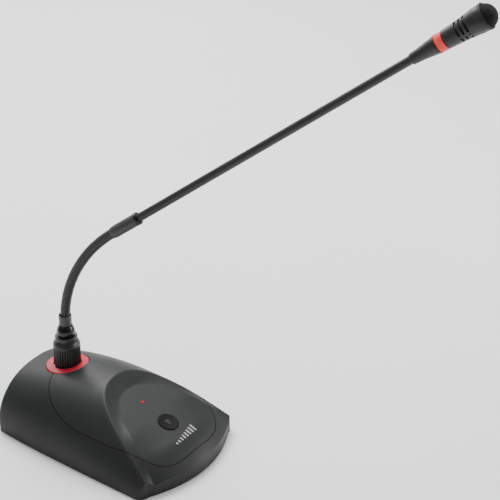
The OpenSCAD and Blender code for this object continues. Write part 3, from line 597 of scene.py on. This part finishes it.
def make_base():
    shell = hollow("shell")
    carve(shell, prism("cut", seam_outline(0), -5, 90))
    carve(shell, round_cutter("cut", RING_R + 0.5, -5, 90, moved(0, PLUG_Y, 0)))
    rear = moved(0, REAR_Y - 8, OUTPUT_Z) @ Matrix.Rotation(-math.pi / 2, 4, "X")
    carve(shell, round_cutter("cut", OUTPUT_HOLE_R, 0, 12, rear))
    dress(shell, "shell_plastic", 30)
    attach(shell, "base")
    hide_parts("base_shell")

    cover = hollow("cover")
    carve(cover, prism("cut", seam_outline(SEAM_GAP), -5, 90), "INTERSECT")
    carve(cover, round_cutter("cut", RING_R + 0.5, -5, 90, moved(0, PLUG_Y, 0)))
    carve(cover, round_cutter("cut", BUTTON_HOLE_R, -9, 9, on_panel(BUTTON_D)))
    carve(cover, round_cutter("cut", LED_R + 0.1, -9, 9, on_panel(BUTTON_D, up=LED_UP), 48))
    dress(cover, "cover_plastic", 30)
    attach(cover, "base")
    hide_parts("top_cover")


# ---------------------------------------------------------------- ring, button and light
def make_ring():
    """Lit ring that follows the body's curve but leans less, with rounded edges."""
    turns = 160
    section = soften([(RING_IN, 0.1 - RING_T), (RING_R, 0.1 - RING_T), (RING_R, -0.05),
                      (RING_IN, -0.05)], 0.7, 6)
    points = []
    for k in range(turns):
        a = TAU * k / turns
        for r, lift in section:
            x, y = r * math.cos(a), PLUG_Y + r * math.sin(a)
            face_z = float(hump_z(np.array(x), np.array(y))) + RING_PROUD + RING_LEAN * (y - PLUG_Y)
            points.append((x, y, face_z + lift))
    n = len(section)
    faces = [(k * n + i, k * n + (i + 1) % n,
              ((k + 1) % turns) * n + (i + 1) % n, ((k + 1) % turns) * n + i)
             for k in range(turns) for i in range(n)]
    faces = [f[::-1] for f in faces]
    add_mesh("light_ring_face", points, faces, "ring_red", "base", replaces=["light_ring"])


def make_button():
    """Dished cap with a rounded rim, and a raised mark of a ring and two arcs in its middle."""
    collar_r, dish_r, dish_low, dish_rise = BUTTON_R + 1.4, BUTTON_R - 1, 0.28, 0.34
    cap = [(0, -4), (collar_r, -4), (collar_r, -2.8), (BUTTON_R, -2.8),
           (BUTTON_R, 0.35), (BUTTON_R - 0.35, 0.66), (dish_r, dish_low + dish_rise)]
    cap += [(r, dish_low + dish_rise * (r / dish_r) ** 2) for r in (6, 4.5, 3, 1.5)]
    cap += [(0, dish_low)]
    lathe("talk_cap", cap, "button_plastic", "button", on_panel(BUTTON_D), 128, 0.2,
          ["talk_button"])
    for k, r in enumerate((1.1, 2.2, 3.3)):
        arc_bar(f"talk_mark_{k}", r, 0.42, 38 if k else 180, 0.26, 0.42,
                "print_dim", "button", on_panel(BUTTON_D, up=-TALK_MARK_DOWN))


def arc_bar(name, r, width, degrees, z0, z1, slot, body, matrix, steps=28):
    """A flat curved bar centred on +Y, with these degrees to either side; 180 makes a ring."""
    half = math.radians(degrees)
    angles = [math.pi / 2 - half + 2 * half * k / steps for k in range(steps + 1)]
    closed = degrees == 180
    if closed:
        angles = angles[:-1]
    points = []
    for a in angles:
        for rr, z in ((r - width / 2, z0), (r + width / 2, z0), (r + width / 2, z1),
                      (r - width / 2, z1)):
            points.append((rr * math.cos(a), rr * math.sin(a), z))
    m = len(angles)
    faces = []
    for k in range(m if closed else m - 1):
        ahead = 4 * ((k + 1) % m)
        faces += [(4 * k + i, ahead + i, ahead + (i + 1) % 4, 4 * k + (i + 1) % 4)
                  for i in range(4)]
    if not closed:
        faces += [(0, 1, 2, 3), tuple(4 * (m - 1) + i for i in (3, 2, 1, 0))]
    return add_mesh(name, points, faces, slot, body, matrix)


def make_status_light():
    dome = [(0, -5), (LED_R, -5), (LED_R, -0.6)]
    dome += [(LED_R * math.cos(a), -0.6 + LED_R * 0.8 * math.sin(a))
             for a in np.radians([20, 40, 60, 75])] + [(0, -0.6 + LED_R * 0.8)]
    lathe("status_dome", dome, "led_red", "base", on_panel(BUTTON_D, up=LED_UP), 40, 0.1,
          ["status_led"])


def make_mark():
    """A plain level mark printed below the button: upright bars, each taller than the last."""
    bars, pitch, half, foot = 8, 3.4, 0.75, -2.6
    for k in range(bars):
        x = pitch * (k - (bars - 1) / 2)
        tall = 0.6 + 0.7 * k
        middle = foot + tall / 2
        bar = [(x + half * math.cos(a),
                middle + math.copysign(tall / 2, math.sin(a)) + half * math.sin(a))
               for a in np.linspace(0.01, TAU + 0.01, 24, False)]
        n = len(bar)
        points = [(px, py, -0.3) for px, py in bar] + [(px, py, 0.05) for px, py in bar]
        faces = [tuple(range(n - 1, -1, -1)), tuple(range(n, 2 * n))]
        faces += [(i, (i + 1) % n, n + (i + 1) % n, n + i) for i in range(n)]
        add_mesh(f"level_bar_{k}", points, faces, "print_grey", "base",
                 on_panel(BUTTON_D, up=-LEVEL_MARK_DOWN))


# ---------------------------------------------------------------- plug and neck
BEND_R, FLEX_R, ROD_R = 109.0, 4.1, 3.4
BEND = math.radians(53)
ARC_LEN = BEND_R * BEND
IN_FERRULE, JOINTS = 7.0, 8
PITCH = (ARC_LEN - IN_FERRULE) / JOINTS
FERRULE_LEN, ROD_LEN, ROD_START = 27.0, 258.0, 9.4
HEAD_START = FERRULE_LEN + ROD_LEN
NECK_FOOT = Vector(joints["neck_turn"]["pos_m"])
BEND_SIDE = Vector(joints["neck_bend"]["axis"])
LEAN = BEND_SIDE.cross(Vector((0, 0, 1)))
PLUG = moved(0, PLUG_Y, 0)


def on_arc(s):
    """Frame on the neck's curve at length s, +Z along the neck."""
    t = s / BEND_R
    up = Vector((0, 0, 1))
    place = NECK_FOOT + (LEAN * (1 - math.cos(t)) + up * math.sin(t)) * BEND_R * MM
    across = -LEAN * math.cos(t) + up * math.sin(t)
    forward = LEAN * math.sin(t) + up * math.cos(t)
    return Matrix.Translation(place) @ Matrix((BEND_SIDE, across, forward)).transposed().to_4x4()


def on_rod(t):
    return on_arc(ARC_LEN) @ moved(0, 0, t)


def on_head(t):
    return on_rod(HEAD_START + t)


def joint_s(k):
    return IN_FERRULE + (k - 0.5) * PITCH


def make_flex():
    """The wound surface, one stretch for each joint, built along the neck's curve."""
    turn_len = PITCH / 5
    around, per_turn = 40, 14
    groove = 0.42            # depth of the groove between two turns
    foot_end, rod_end = 1.6, 2.5  # how far the first and last stretch run into the ferrules
    for k in range(1, JOINTS + 1):
        start = joint_s(k) - PITCH / 2 - (foot_end if k == 1 else 0)
        end = joint_s(k) + PITCH / 2 + (rod_end if k == JOINTS else 0)
        rows = round((end - start) / turn_len * per_turn)
        points = []
        for j in range(rows + 1):
            s = start + (end - start) * j / rows
            place = on_arc(s)
            for i in range(around):
                a = TAU * i / around
                u = (s / turn_len - i / around) % 1
                r = FLEX_R - groove + groove * math.sqrt(max(0, 1 - 0.98 * (2 * u - 1) ** 2))
                points.append(place @ Vector((r * math.cos(a) * MM, r * math.sin(a) * MM, 0)) / MM)
        faces = [(j * around + i, j * around + (i + 1) % around,
                  (j + 1) * around + (i + 1) % around, (j + 1) * around + i)
                 for j in range(rows) for i in range(around)]
        faces += [tuple(range(around - 1, -1, -1)),
                  tuple(rows * around + i for i in range(around))]
        coil = add_mesh(f"wound_flex_{k}", points, faces, "flex_black", sharp=60)
        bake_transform(coil)
        stands_for = ["flex_root"] if k == 1 else [f"flex_link_{k - 1}"]
        if k == JOINTS:
            stands_for.append("flex_tip")
        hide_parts(*stands_for)


SLEEVE_LOW, SLEEVE_TOP, NUT_TOP, BOOT_TOP, FERRULE_TOP = 51.0, 72.0, 79.0, 88.4, 98.0
SLEEVE_R, SHELL_R = 11.1, 9.45
RIBS, RIB_DEPTH = 32, 0.75


def make_sleeve():
    """Ribbed sleeve: rounded ribs that fade out below a plain rim."""
    around = RIBS * 12
    inner = SHELL_R + 0.05
    # Each row: height, change of radius, and how much of the ribs' depth shows.
    low, top = SLEEVE_LOW, SLEEVE_TOP
    heights = [(low, -1.0, 0), (low + 0.3, -0.45, 0), (low + 0.9, -0.3, 0.2), (low + 1.5, 0, 1),
               (top - 3.4, 0, 1), (top - 2.7, -0.12, 0.3), (top - 2.2, -0.1, 0),
               (top - 0.5, -0.1, 0), (top - 0.1, -0.3, 0), (top, -0.6, 0)]
    points = []
    for z, lift, shown in heights:
        for i in range(around):
            a = TAU * i / around
            wave = 0.5 - 0.5 * math.cos(RIBS * a)
            r = SLEEVE_R + lift - RIB_DEPTH * shown * (1 - wave ** 0.6)
            points.append((r * math.cos(a), r * math.sin(a), z))
    rows = len(heights)
    for z in (SLEEVE_TOP, SLEEVE_LOW):
        points += [(inner * math.cos(TAU * i / around), inner * math.sin(TAU * i / around), z)
                   for i in range(around)]
    rings = list(range(rows)) + [rows, rows + 1]
    faces = []
    for low, high in zip(rings, rings[1:] + rings[:1]):
        faces += [(low * around + i, low * around + (i + 1) % around,
                   high * around + (i + 1) % around, high * around + i) for i in range(around)]
    add_mesh("ribbed_sleeve", points, faces, "metal_black", "plug", PLUG, 40, ["knurled_sleeve"])


def make_plug():
    make_sleeve()
    lathe("nut", [(6.2, SLEEVE_TOP - 1.9), (SHELL_R - 0.2, SLEEVE_TOP - 1.9),
                  (SHELL_R - 0.2, SLEEVE_TOP), (SLEEVE_R - 0.4, SLEEVE_TOP),
                  (9.3, SLEEVE_TOP + 2.6), (8.5, SLEEVE_TOP + 2.8), (8.5, SLEEVE_TOP + 3.6),
                  (9.1, SLEEVE_TOP + 3.9), (9.1, NUT_TOP - 0.5), (8.6, NUT_TOP), (6.2, NUT_TOP)],
          "metal_black", "plug", PLUG, 128, 0.25, ["clamp_nut"])
    lathe("boot", [(4.4, NUT_TOP - 4), (6.1, NUT_TOP - 4), (6.1, NUT_TOP + 0.1),
                   (6.9, NUT_TOP + 0.2), (7.45, NUT_TOP + 2.6), (7.5, NUT_TOP + 4.2),
                   (7.1, NUT_TOP + 6), (6.2, BOOT_TOP - 1.4), (5.6, BOOT_TOP - 0.2),
                   (5.2, BOOT_TOP), (4.4, BOOT_TOP)],
          "boot_black", "plug", PLUG, 128, 0.8, ["cable_boot"])
    low = BOOT_TOP
    # Its black is lightened as a painted highlight.
    lathe("foot_ferrule", [(3.4, low - 11), (4.35, low - 11), (4.35, low + 0.02),
                           (4.8, low + 0.02), (4.8, low + 1.2), (5.2, low + 1.6),
                           (5.2, FERRULE_TOP - 0.4), (5, FERRULE_TOP), (4.75, FERRULE_TOP),
                           (4.75, 94), (4.4, 94), (4.4, 89), (3.4, 89)],
          "ferrule_painted_sheen_black", "plug", PLUG, 96, 0.2, ["lower_ferrule"])


def make_rod():
    # Its black is lightened as a painted highlight.
    lathe("neck_ferrule", [(4.35, 0), (4.6, 0), (5, 3), (5, FERRULE_LEN - 2.2),
                           (ROD_R + 0.05, FERRULE_LEN - 2.2), (ROD_R + 0.05, 9), (4.35, 8.4)],
          "ferrule_painted_sheen_black", "mic", on_rod(0), 96, 0.25, ["upper_ferrule"])
    lathe("ferrule_lip", [(ROD_R + 0.05, 0), (5.2, 0), (5.3, 0.4), (5.3, 1.5), (4.9, 2.1),
                          (ROD_R + 0.05, 2.1)],
          "boot_black", "mic", on_rod(FERRULE_LEN - 2.1), 96, 0.2, ["ferrule_ring"])
    length = HEAD_START + 7 - ROD_START
    lathe("rod", [(ROD_R - 0.8, 0), (ROD_R, 0)]
          + [(ROD_R, length * k / 24) for k in range(1, 25)] + [(ROD_R - 0.8, length)],
          "metal_black", "mic", on_rod(ROD_START), 72, 0.2, ["rod_tube"])


# ---------------------------------------------------------------- head
CONE_LEN, BAND_LEN, BODY_LEN = 22.2, 8.0, 31.4
BODY_Z = CONE_LEN + BAND_LEN
RIM_Z = BODY_Z + BODY_LEN
SLOTS, SLOT_H = (41.4, 45.2, 49.0), 1.6
BRIDGE, BRIDGE_AT = math.radians(12), math.radians(77)
BAND_R, RIM_R = 7.1, 10.3
DOME_BASE, DOME_H, DOME_HALF = 1.22, 8.4, 9.5
DOME_R = (DOME_HALF ** 2 + DOME_H ** 2) / (2 * DOME_H)


def slot_cutter(z, start, sweep, steps=48):
    points = []
    for k in range(steps + 1):
        a = start + sweep * k / steps
        points += [(r * math.cos(a), r * math.sin(a), h)
                   for r, h in ((5, z), (13, z), (13, z + SLOT_H), (5, z + SLOT_H))]
    faces = [(4 * k + i, 4 * k + (i + 1) % 4, 4 * (k + 1) + (i + 1) % 4, 4 * (k + 1) + i)
             for k in range(steps) for i in range(4)]
    faces = [f[::-1] for f in faces] + [(0, 1, 2, 3), tuple(4 * steps + i for i in (3, 2, 1, 0))]
    return add_mesh("cut", points, faces, "metal_black")


def make_head():
    lathe("cone", [(ROD_R + 0.05, 0), (4.1, 0), (4.45, 0.4), (4.6, 3), (5.0, 8), (5.6, 13),
                   (6.3, 18), (6.9, CONE_LEN), (5.4, CONE_LEN), (5.2, 18), (4.2, 12),
                   (ROD_R + 0.05, 9)],
          "metal_black", "mic", on_head(0), 96, 1.0, ["head_cone"])
    lathe("head_band", [(5.45, 0.02), (BAND_R - 0.12, 0.02), (BAND_R, 0.5),
                        (BAND_R + 0.02, BAND_LEN / 2), (BAND_R, BAND_LEN - 0.5),
                        (BAND_R - 0.12, BAND_LEN - 0.02), (5.45, BAND_LEN - 0.02)],
          "band_red", "mic", on_head(CONE_LEN), 96, 0.3, ["head_light_ring"])
    # Painted shade: two dark strips laid over the band's ends stand in for shaded grooves; the band has no grooves
    # under them.
    for k, (low, high) in enumerate(((0.02, 1.0), (BAND_LEN - 1.3, BAND_LEN - 0.02))):
        lathe(f"band_shade_strip_{k}", [(BAND_R - 0.5, low), (BAND_R + 0.06, low),
                                  (BAND_R + 0.06, high), (BAND_R - 0.5, high)],
              "band_painted_shade", "mic", on_head(CONE_LEN), 96, 0.1)
    outer = [(4.8, BODY_Z - 2), (5.4, BODY_Z - 2), (5.4, BODY_Z + 0.02), (7.1, BODY_Z + 0.02),
             (7.3, BODY_Z + 0.4), (7.6, BODY_Z + 6), (8.1, BODY_Z + 13), (8.9, BODY_Z + 20),
             (9.7, BODY_Z + 26), (10, RIM_Z), (8.8, RIM_Z), (8.5, BODY_Z + 26),
             (7.7, BODY_Z + 20), (6.9, BODY_Z + 13), (6.4, BODY_Z + 6), (6.1, BODY_Z + 2),
             (4.8, BODY_Z + 2)]
    points, faces = spin(soften(outer, 0.5, 4), 144)
    body = add_mesh("head_barrel", points, faces, "metal_black")
    for z in SLOTS:
        for k in range(3):
            carve(body, slot_cutter(z - SLOT_H / 2, BRIDGE_AT + k * TAU / 3 + BRIDGE / 2,
                                    TAU / 3 - BRIDGE))
    body.data.transform(on_head(0))
    dress(body, "metal_black", 30)
    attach(body, "mic")
    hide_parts("head_body")
    lathe("rim", [(8.8, 0.02), (RIM_R - 0.3, 0.02), (RIM_R, 0.4), (RIM_R, 1.8),
                  (RIM_R - 0.4, 2.3), (9.6, 2.3), (9.6, 1.2), (8.8, 1.2)],
          "mesh_black", "mic", on_head(RIM_Z), 128, 0.2, ["grille_rim"])
    # The foam fills the dome up to just under its wires.
    fill = DOME_R - 0.9
    centre = 1.9 + DOME_BASE + DOME_H - DOME_R
    pad = [(0, 0), (8.4, 0)]
    pad += [(fill * math.cos(a), centre + fill * math.sin(a))
            for a in np.radians([15, 25, 35, 45, 55, 65, 75, 83])]
    lathe("foam_pad", pad + [(0, centre + fill)], "foam", "mic", on_head(RIM_Z - 1.9), 64, 0.3,
          ["foam_disc"])
    make_dome()


def make_dome():
    """Woven wire dome: two crossing sets of wires that pass over and under each other."""
    spacing, wire, sides = 0.92, 0.19, 6
    centre = DOME_H - DOME_R
    points, faces = [], []
    lines = int(DOME_HALF / spacing)
    for family in (0, 1):
        for n in range(-lines, lines + 1):
            offset = n * spacing
            ring = math.sqrt(max(0, DOME_R ** 2 - offset ** 2))
            low = math.sqrt(max(0, DOME_HALF ** 2 - offset ** 2))
            if low < 1.2:
                continue
            half = math.asin(min(1, low / ring)) if ring > 0 else 0
            steps = max(10, int(2 * half * ring / spacing * 4))
            path = []
            for k in range(steps + 1):
                t = -half + 2 * half * k / steps
                along_wire, up = ring * math.sin(t), ring * math.cos(t)
                weave = 0.13 * math.cos(math.pi * (along_wire / spacing + n + family))
                scale = 1 + (weave - 0.35) / DOME_R
                p = Vector((offset, along_wire, up)) if family else Vector((along_wire, offset, up))
                path.append(p * scale + Vector((0, 0, centre)))
            first = len(points)
            for k, p in enumerate(path):
                ahead = path[min(k + 1, steps)] - path[max(k - 1, 0)]
                out = (p - Vector((0, 0, centre))).normalized()
                aside = ahead.cross(out).normalized()
                out = aside.cross(ahead).normalized()
                for i in range(sides):
                    a = TAU * i / sides
                    points.append(p + wire * (math.cos(a) * aside + math.sin(a) * out))
            for k in range(steps):
                for i in range(sides):
                    a, b = first + k * sides + i, first + k * sides + (i + 1) % sides
                    faces.append((a, a + sides, b + sides, b))
            faces.append(tuple(first + i for i in range(sides)))
            faces.append(tuple(first + steps * sides + i for i in range(sides - 1, -1, -1)))
    add_mesh("woven_dome", points, faces, "mesh_black", "mic", on_head(RIM_Z + DOME_BASE), 60,
             ["grille_dome"])


# ---------------------------------------------------------------- the rest
def dress_cad_nodes():
    """Gives every CAD node that is still shown the look of its own slot."""
    slot_of = {p["node"]: p["material_slot"] for p in frame["record"]["subparts"]}
    for name, node in frame["nodes"].items():
        node.data.materials.clear()
        node.data.materials.append(look[slot_of[name]])


def make_floor():
    size = 6.0
    mesh = bpy.data.meshes.new("floor")
    mesh.from_pydata([(-size, -size, 0), (size, -size, 0), (size, size, 0), (-size, size, 0)],
                     [], [(0, 1, 2, 3)])
    floor = bpy.data.objects.new("floor", mesh)
    bpy.context.scene.collection.objects.link(floor)
    s = Shader("floor")
    tone = s.ramp(s.noise(3, 2.0, 0.5), (0.86, 0.86, 0.86), (0.9, 0.9, 0.9))
    mesh.materials.append(s.set(Base_Color=tone, Roughness=s.band(s.noise(8), 0.8, 0.9)))


make_camera()
make_lights()
make_floor()
dress_cad_nodes()
make_base()
make_ring()
make_button()
make_status_light()
make_mark()
make_plug()
make_flex()
make_rod()
make_head()
